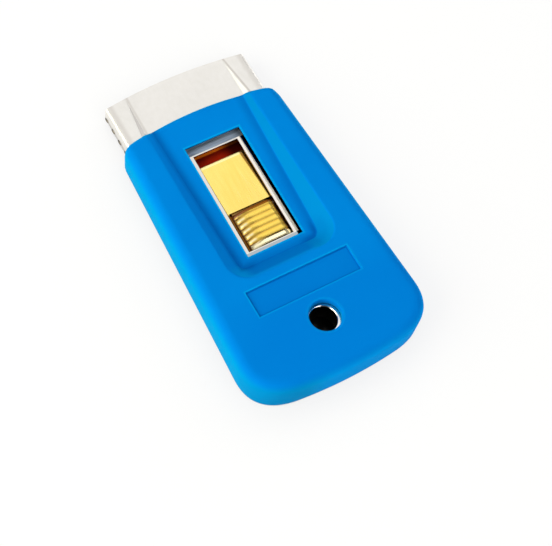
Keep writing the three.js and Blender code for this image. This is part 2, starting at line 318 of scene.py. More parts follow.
def cover_height(x, y):
    """The cover's upper face: its top, the trough with sloped walls, and the sunk panel."""
    top = cover_top(y)
    depth = top - trough_floor(y)
    run = WALL_RUN + WALL_RUN_SHARE * depth + WALL_RUN_REAR * ramp(REAR_WALL_FROM - y, 0.0, REAR_WALL_BLEND)
    sunk_by = soft_max(trough_inside(x, y) * depth / run, 0.0 * x, TROUGH_BLEND)
    height = soft_max(top - sunk_by, trough_floor(y), TROUGH_BLEND)
    sunk = (ramp(PANEL_HALF - np.abs(x), 0.0, PANEL_RAMP) * ramp(y - PANEL_BACK, 0.0, PANEL_RAMP)
            * ramp(PANEL_FRONT - y, 0.0, PANEL_RAMP))
    return height - PANEL_DEPTH * sunk


def half_plan():
    """The two rounded corners of the cover's right half, each as a curve of three points."""
    front_x = COVER_FRONT_HALF - FRONT_CORNER_RUN
    front_y = COVER_FRONT - FRONT_BOW
    side_front = (COVER_FRONT_HALF, front_y - FRONT_CORNER_RUN)
    back_x = COVER_BACK_HALF - BACK_CORNER_RUN
    back_y = BACK_BOW - HALF_LENGTH
    side_back = (COVER_BACK_HALF, back_y + BACK_CORNER_RUN + BACK_CORNER_RISE / 2)
    corner_front = ((front_x, front_y), (COVER_FRONT_HALF, front_y - FRONT_CORNER_DROP), side_front)
    corner_back = (side_back, (COVER_BACK_HALF + BACK_CORNER_OUT, back_y + BACK_CORNER_RISE),
                   (back_x, back_y))
    return corner_front, corner_back


def side_edge(y):
    """Point of the cover's right side for a row of the grid."""
    corner_front, corner_back = half_plan()
    high, low = corner_front[2][1], corner_back[0][1]
    if y > high:
        return curve_point(*corner_front, 1.0 - 0.5 * (y - high) / (GRID_FRONT - high))
    if y < low:
        return curve_point(*corner_back, 0.5 * (low - y) / (low - GRID_BACK))
    t = (y - low) / (high - low)
    return np.array(corner_back[0]) * (1 - t) + np.array(corner_front[2]) * t


def end_edge(x, front):
    """Point of the cover's front or back edge for a column of the grid."""
    corner_front, corner_back = half_plan()
    far = abs(x)
    side = 1.0 if x >= 0 else -1.0
    if front:
        corner, start, middle = corner_front, corner_front[0], (0.0, COVER_FRONT + FRONT_BOW)
    else:
        corner, start, middle = corner_back, corner_back[2], (0.0, -HALF_LENGTH - BACK_BOW)
    if far > start[0]:
        share = 0.5 * (far - start[0]) / (GRID_HALF - start[0])
        found = curve_point(*corner, share if front else 1.0 - share)
    else:
        share = 0.5 + 0.5 * far / start[0]
        found = curve_point((-start[0], start[1]), middle, start, share)
    return np.array((side * found[0], found[1]))


def grid_lines(marks, edges):
    """Places of grid lines: even steps from mark to mark, and close ones beside each crisp edge."""
    lines = [marks[0][0]]
    for (start, pitch), (end, _) in zip(marks, marks[1:]):
        lines += list(np.linspace(start, end, int(math.ceil((end - start) / pitch)) + 1))[1:]
    close = [-EDGE_MARGIN] + [PANEL_RAMP * k / 4 for k in range(5)] + [PANEL_RAMP + EDGE_MARGIN]
    near = [e + s * d for e, s in edges for d in close]
    lines = [v for v in lines if all(abs(v - n) > LINE_ROOM for n in near)]
    return np.array(sorted(lines + near))


def cover_block():
    xs = grid_lines([(-GRID_HALF, COARSE), (-WALL_FAR, FINE), (-WALL_NEAR, COARSE), (WALL_NEAR, FINE),
                     (WALL_FAR, COARSE), (GRID_HALF, COARSE)], [(PANEL_HALF, -1), (-PANEL_HALF, 1)])
    ys = grid_lines([(GRID_BACK, COARSE), (TROUGH_END - COARSE, FINE), (WALL_REAR, COARSE),
                     (GRID_FRONT, COARSE)], [(PANEL_BACK, 1), (PANEL_FRONT, -1)])
    across, along = len(xs), len(ys)
    right = np.array([side_edge(y) for y in ys])
    left = right * (-1, 1)
    front = np.array([end_edge(x, True) for x in xs])
    back = np.array([end_edge(x, False) for x in xs])
    loop = ([(x, 0) for x in range(across)] + [(across - 1, y) for y in range(1, along)]
            + [(x, along - 1) for x in range(across - 2, -1, -1)]
            + [(0, y) for y in range(along - 2, 0, -1)])
    edge = np.array([back[i] if j == 0 else front[i] if j == along - 1 else right[j] if i else left[j]
                     for i, j in loop])
    turn = np.roll(edge, -1, axis=0) - np.roll(edge, 1, axis=0)
    normal = np.stack([turn[:, 1], -turn[:, 0]], axis=1)
    normal /= np.linalg.norm(normal, axis=1)[:, None]
    facing = ramp(normal[:, 1], 0.3, 0.6)
    radius = SIDE_ROUND + (FRONT_ROUND - SIDE_ROUND) * facing
    inner = {key: edge[k] - normal[k] * SIDE_ROUND for k, key in enumerate(loop)}

    # The flat field, pulled to the rounded plan only near its edge
    weight_x = np.maximum(np.abs(xs) - GRID_STILL_X, 0.0) / (GRID_HALF - GRID_STILL_X)
    weight_front = np.maximum(ys - GRID_STILL_FRONT, 0.0) / (GRID_FRONT - GRID_STILL_FRONT)
    weight_back = np.maximum(GRID_STILL_BACK - ys, 0.0) / (GRID_STILL_BACK - GRID_BACK)
    place = np.zeros((across, along, 2))
    for i in range(across):
        side = across - 1 if xs[i] > 0 else 0
        for j in range(along):
            end = along - 1 if ys[j] > 0 else 0
            weight_y = max(weight_front[j], weight_back[j])
            point = np.array((xs[i], ys[j]))
            pull_x = inner[(side, j)] - np.array((xs[side], ys[j]))
            pull_y = inner[(i, end)] - np.array((xs[i], ys[end]))
            corner = inner[(side, end)] - np.array((xs[side], ys[end]))
            place[i, j] = (point + weight_x[i] * pull_x + weight_y * pull_y
                           - weight_x[i] * weight_y * corner)
    height = cover_height(place[..., 0], place[..., 1])
    points = [(place[i, j, 0], place[i, j, 1], height[i, j]) for i in range(across) for j in range(along)]
    faces = [(i * along + j, (i + 1) * along + j, (i + 1) * along + j + 1, i * along + j + 1)
             for i in range(across - 1) for j in range(along - 1)]

    # The rounded rim, the wall and the floor
    ring = [i * along + j for i, j in loop]
    count = len(loop)
    rows = []
    for inset in SIDE_ROUND * np.array(RIM_SHARES):
        flat = edge - normal * inset
        bend = np.maximum(radius - inset, 0.0)
        drop = radius - np.sqrt(np.maximum(radius ** 2 - bend ** 2, 0.0))
        rows.append((flat, cover_height(flat[:, 0], flat[:, 1]) - drop))
    for angle in np.linspace(0.0, math.pi / 2, 5):
        inset = BOTTOM_ROUND * (1 - math.cos(angle))
        rows.append((edge - normal * inset, np.full(count, BOTTOM_ROUND * (1 - math.sin(angle)))))
    for flat, heights in rows:
        start = len(points)
        points += [(flat[k, 0], flat[k, 1], heights[k]) for k in range(count)]
        for k in range(count):
            n = (k + 1) % count
            faces.append((ring[k], ring[n], start + n, start + k))
        ring = [start + k for k in range(count)]
    faces.append(tuple(ring))
    return make_object("moulded_cover", points, faces)


# Sheath
def sheath_line(y, grow, steps):
    """The sheath's outer line across, from its right foot over the top to its left foot."""
    back = SHEATH_BACK - grow
    half = SHEATH_HALF + grow
    behind = (y - back) / SHEATH_CORNER
    if behind < 1.0:
        half -= SHEATH_CORNER * (1 - math.sqrt(max(behind, 0.0))) ** 2
    top = sheath_top(y) + grow
    end = CHANNEL_END + grow
    floor = min(channel_floor(max(y, end)) + grow + max(end - y, 0.0), top)
    foot = CHANNEL_FOOT - grow + CHANNEL_FLARE * max(floor - channel_floor(y) - grow, 0.0)
    wide = min(foot + CHANNEL_FLARE * (top - floor), half - 0.1)
    foot = min(foot, wide - 1e-4)
    line = [(half, SHEATH_BOTTOM), (half, top), (wide, top), (foot, floor), (-foot, floor), (-wide, top),
            (-half, top), (-half, SHEATH_BOTTOM)]
    radii = [FOLD_RADIUS, CREASE_RADIUS, CREASE_RADIUS]
    bent = rounded(line, radii + radii[::-1], steps)
    return filled(filled(bent, steps + 1, 3), 3 * (steps + 1) + 2, 14)


def sheath_rows(grow, front):
    """Places along the sheath: close at its rounded back and at the channel's rear slope."""
    back = SHEATH_BACK - grow
    slope_back, slope_front = CHANNEL_END - 9, CHANNEL_END + 1
    near = [back + SHEATH_CORNER * s * s for s in (0.0, 0.08, 0.18, 0.3, 0.45, 0.6, 0.8, 1.0)]
    middle = list(np.linspace(back + SHEATH_CORNER, slope_back, 5))[1:]
    slope = list(np.linspace(slope_back, slope_front, 13))[1:]
    return near + middle + slope + list(np.linspace(slope_front, front, 24))[1:]


def sheath_room():
    """The space in the cover that the sheath fills, with its clearance."""
    rings = [[(x, y, z) for x, z in sheath_line(y, SEAT_GAP, 3)]
             for y in sheath_rows(SEAT_GAP, HALF_LENGTH)]
    return loft("sheath_room", rings)


def prism(name, half, back, front, levels):
    """A box on the middle line whose outline grows by the given amount at each height."""
    rings = []
    for height, grow in levels:
        x, y0, y1 = half + grow, back - grow, front + grow
        rings.append([(-x, y0, height(y0)), (x, y0, height(y0)), (x, y1, height(y1)), (-x, y1, height(y1))])
    return loft(name, rings)


def drum(name, y, levels):
    """A round tool with the given radius at each height."""
    rings = []
    for height, radius in levels:
        rings.append([(radius * math.cos(a), y + radius * math.sin(a), height(y + radius * math.sin(a)))
                      for a in np.linspace(0, 2 * math.pi, HOLE_SIDES, endpoint=False)])
    return loft(name, rings)


def above(surface, offset):
    return lambda y: surface(y) + offset


def level(height):
    return lambda y: height


def grip_cover():
    cover = cover_block()
    carve(cover, sheath_room())
    edge = ((-TROUGH_SKIN, 0.0), (-0.2, 0.0), (-0.09, 0.03), (-0.02, 0.1), (0.1, 0.26))
    carve(cover, prism("window_lip", *COVER_WINDOW, [(above(trough_floor, z), grow) for z, grow in edge]))
    carve(cover, prism("window_gap", *COVER_WINDOW, [
        (above(channel_floor, 0.0), WINDOW_UNDERCUT), (above(trough_floor, -WINDOW_LIP), WINDOW_UNDERCUT)]))
    edge = ((-1.0, 0.0), (-0.45, 0.2), (-0.12, 0.55), (0.1, 1.1))
    carve(cover, drum("hanging_hole", HOLE_Y, [(level(-1.0), COVER_HOLE)] + [
        (above(cover_top, z * HOLE_ROUND), COVER_HOLE + grow * HOLE_ROUND) for z, grow in edge]))
    return smooth(within(cover), 32.0)


def steel_sheath():
    rings = []
    for y in sheath_rows(0.0, LIP_CORNER):
        share = max(0.0, (y - BOW_START) / (LIP_CORNER - BOW_START))
        rings.append([(x, y + share * LIP_BOW * (1 - (x / SHEATH_HALF) ** 2), z)
                      for x, z in sheath_line(y, 0.0, 5)])
    foot = [(x, y, SHEATH_BOTTOM) for x, y, _ in rings[0]]
    sheath = loft("steel_sheath", [foot] + rings, False)
    wall = sheath.modifiers.new("wall", "SOLIDIFY")
    wall.thickness = SHEET * MM
    wall.offset = -1.0
    wall.use_even_offset = True
    settle(sheath)
    carve(sheath, prism("steel_window", *STEEL_WINDOW, [
        (level(SLIDE_TOP), 0.0), (above(channel_floor, 1.0), 0.0)]))
    hole = drum("steel_hole", HOLE_Y + STEEL_HOLE_Y, [
        (level(0.0), STEEL_HOLE), (above(sheath_top, -0.15), STEEL_HOLE),
        (above(sheath_top, 0.1), STEEL_HOLE + 0.25)])
    hole.location.x = STEEL_HOLE_X * MM
    carve(sheath, hole)
    return smooth(within(sheath), 28.0)


# Brass slide
def slide_path():
    """The slide's upper face along its length: flat, a bend, a short run down, flat again."""
    line = [(PLATE_REAR, SLIDE_TOP), (SLIDE_BEND, SLIDE_TOP), (RAMP_END, TONGUE_TOP),
            (TONGUE_FRONT - 1, TONGUE_TOP)]
    return rounded(line, [BEND_RUN, BEND_RUN], 8)


def slide_section(y, top):
    low = min(FLANGE_LOW, top - TONGUE_SHEET - 0.001)
    outer = rounded([(SLIDE_RIGHT, low), (SLIDE_RIGHT, top), (-SLIDE_HALF, top), (-SLIDE_HALF, low)],
                    [SLIDE_ROUND, SLIDE_ROUND], 8)
    left, right = TONGUE_SHEET - SLIDE_HALF, SLIDE_RIGHT - TONGUE_SHEET
    ceiling = top - TONGUE_SHEET
    back = [(left, low), (left, ceiling), (right, ceiling), (right, low)]
    return [(x, y, z) for x, z in list(outer) + back]


def slide_rail(side):
    """One turned-down side behind the plate, beside the pad."""
    outer = SLIDE_RIGHT if side > 0 else SLIDE_HALF
    middle = outer - SLIDE_ROUND
    inner = outer - SLIDE_SHEET
    last = math.acos((inner - middle) / SLIDE_ROUND)
    line = [(outer, FLANGE_LOW)]
    for a in np.linspace(0.0, last, 8):
        line.append((middle + SLIDE_ROUND * math.cos(a),
                     SLIDE_TOP - SLIDE_ROUND + SLIDE_ROUND * math.sin(a)))
    line.append((inner, FLANGE_LOW))
    rings = [[(side * x, y, z) for x, z in line] for y in (SLIDE_REAR, PLATE_REAR + RAIL_OVERLAP)]
    return loft("slide_rail", rings)


def slide_tongue():
    """The wide front of the slide, with an ear on each side of the bent-down run."""
    far, near, rear, front = TONGUE_HALF, EAR_NEAR, EAR_REAR, TONGUE_FRONT
    plan = [(-far, rear), (-near, rear), (-near, RAMP_END), (near, RAMP_END), (near, rear), (far, rear),
            (far, front), (-far, front)]
    return loft("slide_tongue", [[(x, y, z) for x, y in plan] for z in (TONGUE_BOTTOM, TONGUE_TOP)])


def brass_slide():
    slide = loft("brass_slide", [slide_section(y, z) for y, z in slide_path()])
    for side in (-1, 1):
        carve(slide, slide_rail(side), "UNION")
    carve(slide, slide_tongue(), "UNION")
    return smooth(slide, 30.0)


# Node helpers
def add(tree, kind, **settings):
    made = tree.nodes.new(kind)
    for key, value in settings.items():
        setattr(made, key, value)
    return made


def feed(tree, socket, value):
    """Links a socket, or sets a plain value on it."""
    if isinstance(value, bpy.types.NodeSocket):
        tree.links.new(value, socket)
    else:
        socket.default_value = value


def put(tree, kind, inputs, **settings):
    """A new node with its inputs linked or set by name."""
    made = add(tree, kind, **settings)
    for key, value in inputs.items():
        feed(tree, made.inputs[key], value)
    return made


def sum_of(tree, operation, *values):
    made = add(tree, "ShaderNodeMath", operation=operation)
    for socket, value in zip(made.inputs, values):
        feed(tree, socket, value)
    return made.outputs[0]


def spread(tree, value, start, end, low=0.0, high=1.0, kind="LINEAR"):
    """A value moved from one range to another and held at its ends."""
    inputs = {"Value": value, "From Min": start, "From Max": end, "To Min": low, "To Max": high}
    return put(tree, "ShaderNodeMapRange", inputs, interpolation_type=kind).outputs["Result"]


def step(tree, value, start, end, low=0.0, high=1.0):
    """A soft step between two values, given in the value's own unit."""
    return spread(tree, value, start, end, low, high, "SMOOTHSTEP")


def mixed(tree, mask, before, after):
    """The first colour, changed to the second where the mask is one."""
    made = put(tree, "ShaderNodeMix", {"Factor": mask}, data_type="RGBA")
    for socket, colour in zip([i for i in made.inputs if i.type == "RGBA"], (before, after)):
        feed(tree, socket, colour)
    return [o for o in made.outputs if o.type == "RGBA"][0]


def node_tree(name, sizes):
    """An empty geometry tree with a geometry output and one named number for each size."""
    tree = bpy.data.node_groups.new(name, "GeometryNodeTree")
    tree.interface.new_socket("Geometry", in_out="INPUT", socket_type="NodeSocketGeometry")
    tree.interface.new_socket("Geometry", in_out="OUTPUT", socket_type="NodeSocketGeometry")
    for key, value in sizes.items():
        kind = "NodeSocketInt" if isinstance(value, int) else "NodeSocketFloat"
        tree.interface.new_socket(key, in_out="INPUT", socket_type=kind)
    return tree, add(tree, "NodeGroupInput").outputs, add(tree, "NodeGroupOutput")


def grown(name, tree, sizes):
    """The plain mesh that a geometry tree makes with these sizes."""
    made = make_object(name, [(0, 0, 0)], [], tidy=False)
    change = made.modifiers.new(name, "NODES")
    change.node_group = tree
    for item in tree.interface.items_tree:
        if item.in_out == "INPUT" and item.name in sizes:
            change[item.identifier] = sizes[item.name]
    return settle(made)


def end_tree(tree, output, geometry, material):
    real = put(tree, "GeometryNodeRealizeInstances", {"Geometry": geometry})
    paint = put(tree, "GeometryNodeSetMaterial", {"Geometry": real.outputs[0], "Material": material})
    tree.links.new(paint.outputs[0], output.inputs[0])


def thumb_pad(material):
    """Ribs across, turned down far at the left and shortly at the right, with a smooth nose behind."""
    sizes = {"Length": (PAD_FRONT - PAD_REAR) * MM, "Width": (PAD_HALF + PAD_RIGHT) * MM,
             "Rise": (PAD_TOP - PAD_FOOT) * MM, "Rib depth": RIB_DEPTH * MM, "Ribs": RIB_COUNT,
             "Foot": PAD_FOOT * MM, "Middle": (PAD_FRONT + PAD_REAR) / 2 * MM,
             "Shift": (PAD_RIGHT - PAD_HALF) / 2 * MM,
             "Nose": 0.15, "Front": 0.045, "Left end": 0.8, "Right end": 0.3}
    tree, size, output = node_tree("ribbed_pad", sizes)

    def of(operation, *values):
        return sum_of(tree, operation, *values)

    def sloped_end(distance, run, fall, power, tight):
        """Falls slowly over the run, and at once at the very end."""
        left = of("MAXIMUM", of("SUBTRACT", 1.0, of("DIVIDE", distance, run)), 0.0)
        slope = of("SUBTRACT", 1.0, of("MULTIPLY", of("POWER", left, power), fall))
        last = of("SUBTRACT", 1.0, of("POWER", left, tight))
        return of("MULTIPLY", slope, of("SQRT", of("MAXIMUM", last, 0.0)))

    # Places over a grid: across from -1 to 1, along from the nose at 0 to the front at 1
    grid = put(tree, "GeometryNodeMeshGrid", {"Size X": 2.0, "Size Y": 1.0, "Vertices X": PAD_POINTS_ACROSS,
                                              "Vertices Y": PAD_POINTS_ALONG}).outputs["Mesh"]
    place = add(tree, "GeometryNodeInputPosition").outputs[0]
    flat = put(tree, "ShaderNodeSeparateXYZ", {0: place}).outputs
    across = of("SINE", of("MULTIPLY", flat["X"], math.pi / 2))
    along = of("ADD", flat["Y"], 0.5)

    # Heights
    waves = of("ADD", size["Ribs"], 1.0)
    swing = of("SINE", of("MULTIPLY", of("MULTIPLY", along, waves), math.pi))
    ribs_from = spread(tree, along, 0.09, 0.14)
    crest = of("MULTIPLY", of("SUBTRACT", of("ABSOLUTE", swing), 1.0), ribs_from)
    leftward = of("POWER", of("MAXIMUM", of("MULTIPLY", across, -1.0), 0.0), 2.0)
    deep = of("MULTIPLY", of("MULTIPLY_ADD", leftward, 0.8, 0.2), size["Rib depth"])
    ribbed = of("MULTIPLY_ADD", crest, deep, size["Rise"])
    end_run = spread(tree, across, -0.1, 0.1, size["Left end"], size["Right end"])
    ends = sloped_end(of("SUBTRACT", 1.0, of("ABSOLUTE", across)), end_run,
                      of("MULTIPLY_ADD", ribs_from, 0.5, 0.45), 2.0, 16.0)
    nose = sloped_end(along, size["Nose"], 0.6, 1.2, 12.0)
    face = sloped_end(of("SUBTRACT", 1.0, along), size["Front"], 0.0, 1.0, 2.0)
    height = of("MULTIPLY", of("MULTIPLY", ribbed, ends), of("MULTIPLY", nose, face))

    # Where brown painted shade goes on the brass: the grooves, the left edge and the front
    low = of("MULTIPLY", of("MULTIPLY", crest, -1.0), of("MULTIPLY_ADD", leftward, 0.55, 0.45))
    low = of("MAXIMUM", low, spread(tree, across, -0.88, -0.98))
    low = of("MAXIMUM", low, spread(tree, along, 0.915, 0.96))
    mark = put(tree, "GeometryNodeStoreNamedAttribute", {"Geometry": grid, "Name": "groove_shade", "Value": low},
               data_type="FLOAT", domain="POINT")

    # The upper skin and the foot under it
    side = of("MULTIPLY_ADD", across, of("MULTIPLY", size["Width"], 0.5), size["Shift"])
    run = of("MULTIPLY_ADD", flat["Y"], size["Length"], size["Middle"])

    def placed(mesh, z):
        at = put(tree, "ShaderNodeCombineXYZ", {"X": side, "Y": run, "Z": z}).outputs[0]
        return put(tree, "GeometryNodeSetPosition", {"Geometry": mesh, "Position": at}).outputs[0]

    top = placed(mark.outputs[0], of("ADD", height, size["Foot"]))
    flip = put(tree, "GeometryNodeFlipFaces", {"Mesh": placed(grid, size["Foot"])})
    join = put(tree, "GeometryNodeJoinGeometry", {"Geometry": flip.outputs[0]})
    tree.links.new(top, join.inputs[0])
    weld = put(tree, "GeometryNodeMergeByDistance", {"Geometry": join.outputs[0], "Distance": 1e-6})
    end_tree(tree, output, weld.outputs[0], material)
    return smooth(grown("ribbed_pad", tree, sizes), 50.0)


def edge_crimps(material):
    """Small pressed beads in two rows along the lower edges of the sheath."""
    sizes = {"Count": CRIMP_COUNT, "Pitch": CRIMP_PITCH * MM, "First": (LIP_CORNER - CRIMP_FIRST) * MM,
             "Side": (SHEATH_HALF - CRIMP_SUNK) * MM, "Height": (SHEATH_BOTTOM + CRIMP_RISE) * MM,
             "Bead length": CRIMP_LENGTH * MM, "Bead radius": CRIMP_RADIUS * MM}
    tree, size, output = node_tree("edge_crimps", sizes)

    def of(operation, *values):
        return sum_of(tree, operation, *values)

    def vector(**parts):
        return put(tree, "ShaderNodeCombineXYZ", parts).outputs[0]

    half = of("MULTIPLY", size["Bead length"], 0.5)
    bead = put(tree, "GeometryNodeCurvePrimitiveLine", {"Start": vector(Y=of("MULTIPLY", half, -1.0)),
                                                        "End": vector(Y=half)})
    fine = put(tree, "GeometryNodeResampleCurve", {"Curve": bead.outputs[0], "Count": 11})
    share = add(tree, "GeometryNodeSplineParameter").outputs["Factor"]
    swing = of("MULTIPLY_ADD", share, 2.0, -1.0)
    width = of("SQRT", of("SUBTRACT", 1.02, of("MULTIPLY", swing, swing)))
    radius = of("MULTIPLY", width, size["Bead radius"])
    thick = put(tree, "GeometryNodeSetCurveRadius", {"Curve": fine.outputs[0], "Radius": radius})
    ring = put(tree, "GeometryNodeCurvePrimitiveCircle", {"Resolution": 12, "Radius": 1.0})
    tube = put(tree, "GeometryNodeCurveToMesh", {"Curve": thick.outputs[0], "Fill Caps": True,
                                                 "Profile Curve": ring.outputs[0]})
    if "Scale" in tube.inputs:
        tree.links.new(radius, tube.inputs["Scale"])
    join = add(tree, "GeometryNodeJoinGeometry")
    for side in (-1.0, 1.0):
        first = vector(X=of("MULTIPLY", size["Side"], side), Y=size["First"], Z=size["Height"])
        pitch = vector(Y=of("MULTIPLY", size["Pitch"], -1.0))
        row = put(tree, "GeometryNodeMeshLine", {"Count": size["Count"], "Start Location": first,
                                                 "Offset": pitch})
        beads = put(tree, "GeometryNodeInstanceOnPoints", {"Points": row.outputs[0],
                                                           "Instance": tube.outputs[0]})
        tree.links.new(beads.outputs[0], join.inputs[0])
    end_tree(tree, output, join.outputs[0], material)
    return smooth(grown("edge_crimps", tree, sizes), 60.0)


# Surface effects shared by the materials
def effect(name, inputs, outputs):
    tree = bpy.data.node_groups.new(name, "ShaderNodeTree")
    for key, kind in inputs.items():
        tree.interface.new_socket(key, in_out="INPUT", socket_type=kind)
    for key in outputs:
        tree.interface.new_socket(key, in_out="OUTPUT", socket_type="NodeSocketFloat")
    return tree, add(tree, "NodeGroupInput").outputs, add(tree, "NodeGroupOutput")


def grain_effect():
    """Fine even grain with a few soft patches, as on moulded or polished skin."""
    inputs = {"Vector": "NodeSocketVector", "Grain scale": "NodeSocketFloat",
              "Patch scale": "NodeSocketFloat"}
    tree, given, output = effect("fine_grain", inputs, ["Grain", "Patch"])
    for key, detail in (("Grain", 3.0), ("Patch", 2.0)):
        noise = put(tree, "ShaderNodeTexNoise", {"Vector": given["Vector"], "Scale": given[key + " scale"],
                                                 "Detail": detail})
        tree.links.new(noise.outputs["Fac"], output.inputs[key])
    return tree


def brushed_effect():
    """Fine parallel lines, as left by brushing or rolling."""
    inputs = {"Vector": "NodeSocketVector", "Scale": "NodeSocketFloat", "Stretch": "NodeSocketVector"}
    tree, given, output = effect("brushed_lines", inputs, ["Lines"])
    drawn = put(tree, "ShaderNodeVectorMath", {0: given["Vector"], 1: given["Stretch"]},
                operation="MULTIPLY")
    noise = put(tree, "ShaderNodeTexNoise", {"Vector": drawn.outputs[0], "Scale": given["Scale"],
                                             "Detail": 4.0})
    tree.links.new(noise.outputs["Fac"], output.inputs["Lines"])
    return tree


def between(tree, noise, low, high):
    return spread(tree, noise, 0.3, 0.7, low, high)


def tinted(tree, noise, dark, light):
    return mixed(tree, between(tree, noise, 0.0, 1.0), dark, light)


grain = grain_effect()
brushed = brushed_effect()


def brushed_lines(tree, place, scale, stretch):
    inputs = {"Vector": place, "Scale": scale, "Stretch": stretch}
    return put(tree, "ShaderNodeGroup", inputs, node_tree=brushed).outputs["Lines"]


def start_material(name, grain_scale, patch_scale):
    material = bpy.data.materials.new(name)
    material.use_nodes = True
    tree = material.node_tree
    place = add(tree, "ShaderNodeTexCoord").outputs["Object"]
    inputs = {"Vector": place, "Grain scale": grain_scale, "Patch scale": patch_scale}
    skin = put(tree, "ShaderNodeGroup", inputs, node_tree=grain)
    return material, tree, tree.nodes["Principled BSDF"].inputs, place, skin.outputs


def bump(tree, height, strength, distance):
    made = put(tree, "ShaderNodeBump", {"Strength": strength, "Distance": distance, "Height": height})
    return made.outputs[0]


def plastic(name, dark, light, sheen_colour, roughness, specular):
    """Moulded plastic, with a painted sheen: a paler tone where it turns away from the eye."""
    material, tree, shader, _, skin = start_material(name, 2600.0, 55.0)
    # Painted sheen: the colour turns to the paler sheen colour where the surface turns away from the eye
    turned = put(tree, "ShaderNodeLayerWeight", {"Blend": 0.5})
    edge = step(tree, turned.outputs["Facing"], 0.45, 0.85)
    feed(tree, shader["Base Color"], mixed(tree, edge, tinted(tree, skin["Patch"], dark, light), sheen_colour))
    feed(tree, shader["Roughness"], between(tree, skin["Grain"], *roughness))
    feed(tree, shader["Specular IOR Level"], specular)
    feed(tree, shader["IOR"], 1.15)
    feed(tree, shader["Normal"], bump(tree, skin["Grain"], 0.22, 0.00003))
    return material


def metal(name, dark, light, roughness, line_scale, stretch, depth):
    """Metal with brushed lines in its colour, its roughness and its relief."""
    material, tree, shader, place, skin = start_material(name, 1800.0, 120.0)
    lines = brushed_lines(tree, place, line_scale, stretch)
    feed(tree, shader["Base Color"], tinted(tree, lines, dark, light))
    blend = sum_of(tree, "MULTIPLY_ADD", lines, 0.5, sum_of(tree, "MULTIPLY", skin["Patch"], 0.5))
    feed(tree, shader["Roughness"], between(tree, blend, *roughness))
    feed(tree, shader["Metallic"], 1.0)
    relief = sum_of(tree, "MULTIPLY_ADD", lines, 0.7, sum_of(tree, "MULTIPLY", skin["Grain"], 0.3))
    feed(tree, shader["Normal"], bump(tree, relief, depth, 0.00002))
    return material


finish = {
    # The cover's third colour is its painted sheen on the turned-away walls
    "cover_plastic": plastic("blue_plastic", linear(0, 123, 212), linear(0, 128, 216), linear(0, 166, 216),
                             (0.5, 0.58), 0.03),
    "sheath_steel": metal("nickel_steel", linear(231, 228, 222), linear(237, 234, 229),
                          (0.16, 0.18), 700.0, (1.0, 0.6, 1.0), 0.03),
    # The crimps are painted dark steel as painted shade
    "crimp_steel": metal("crimp_painted_shade", linear(86, 80, 74), linear(112, 106, 100),
                         (0.35, 0.45), 700.0, (1.0, 0.6, 1.0), 0.03),
    "slide_brass": metal("brass", linear(249, 214, 108), linear(255, 226, 126),
                         (0.2, 0.3), 700.0, (1.0, 0.12, 1.0), 0.06),
    "pad_brass": metal("pad_brass", linear(250, 208, 86), linear(255, 222, 104),
                       (0.24, 0.3), 700.0, (0.12, 1.0, 1.0), 0.04),
    # The spring is painted a dark brass-brown as painted shade
    "spring_steel": metal("spring_steel", linear(128, 100, 60), linear(156, 126, 78),
                          (0.25, 0.35), 900.0, (1.0, 0.05, 1.0), 0.1),
    "blade_steel": metal("blade_steel", linear(196, 199, 203), linear(222, 225, 228),
                         (0.16, 0.28), 1200.0, (0.05, 1.0, 1.0), 0.1),
}


class Surface:
    """A finish opened for painting: coordinates, the colour so far, and masks in millimetres."""

    def __init__(self, material):
        self.tree = material.node_tree
        self.shader = self.tree.nodes["Principled BSDF"].inputs
        self.place = add(self.tree, "ShaderNodeTexCoord").outputs["Object"]
        self.x, self.y, self.z = put(self.tree, "ShaderNodeSeparateXYZ", {0: self.place}).outputs
        self.colour = self.now("Base Color")

    def now(self, key):
        return self.shader[key].links[0].from_socket

    def set(self, key, value):
        feed(self.tree, self.shader[key], value)

    def of(self, operation, *values):
        return sum_of(self.tree, operation, *values)

    def times(self, first, *others):
        for other in others:
            first = self.of("MULTIPLY", first, other)
        return first

    def far(self, value, place):
        """How far a value lies from a place, on either side."""
        return self.of("ABSOLUTE", self.of("SUBTRACT", value, place * MM))

    def length(self, x, y):
        run = put(self.tree, "ShaderNodeCombineXYZ", {"X": x, "Y": y}).outputs[0]
        return put(self.tree, "ShaderNodeVectorMath", {0: run}, operation="LENGTH").outputs["Value"]

    def step(self, value, start, end, low=0.0, high=1.0):
        return step(self.tree, value, start * MM, end * MM, low, high)

    def fall(self, value, start, end, strength=1.0):
        return self.step(value, start, end, strength, 0.0)

    def band(self, value, start, full, last, end, strength=1.0):
        """A mask that rises from start to full and falls from last to end."""
        return self.times(self.step(value, start, full, 0.0, strength), self.fall(value, last, end))

    def line(self, value, place, width, strength):
        """A mask that is strongest at a place and fades on both sides."""
        return self.fall(self.far(value, place), 0.0, width, strength)

    def shaded(self, colour, share):
        """A colour darkened by a share that changes over the surface."""
        made = put(self.tree, "ShaderNodeVectorMath", {0: colour[:3], "Scale": share}, operation="SCALE")
        return made.outputs[0]

    def paint(self, colour, *masks):
        """Puts a colour over the one so far, where all the masks say so."""
        self.colour = mixed(self.tree, self.times(*masks), self.colour, colour)
        self.set("Base Color", self.colour)


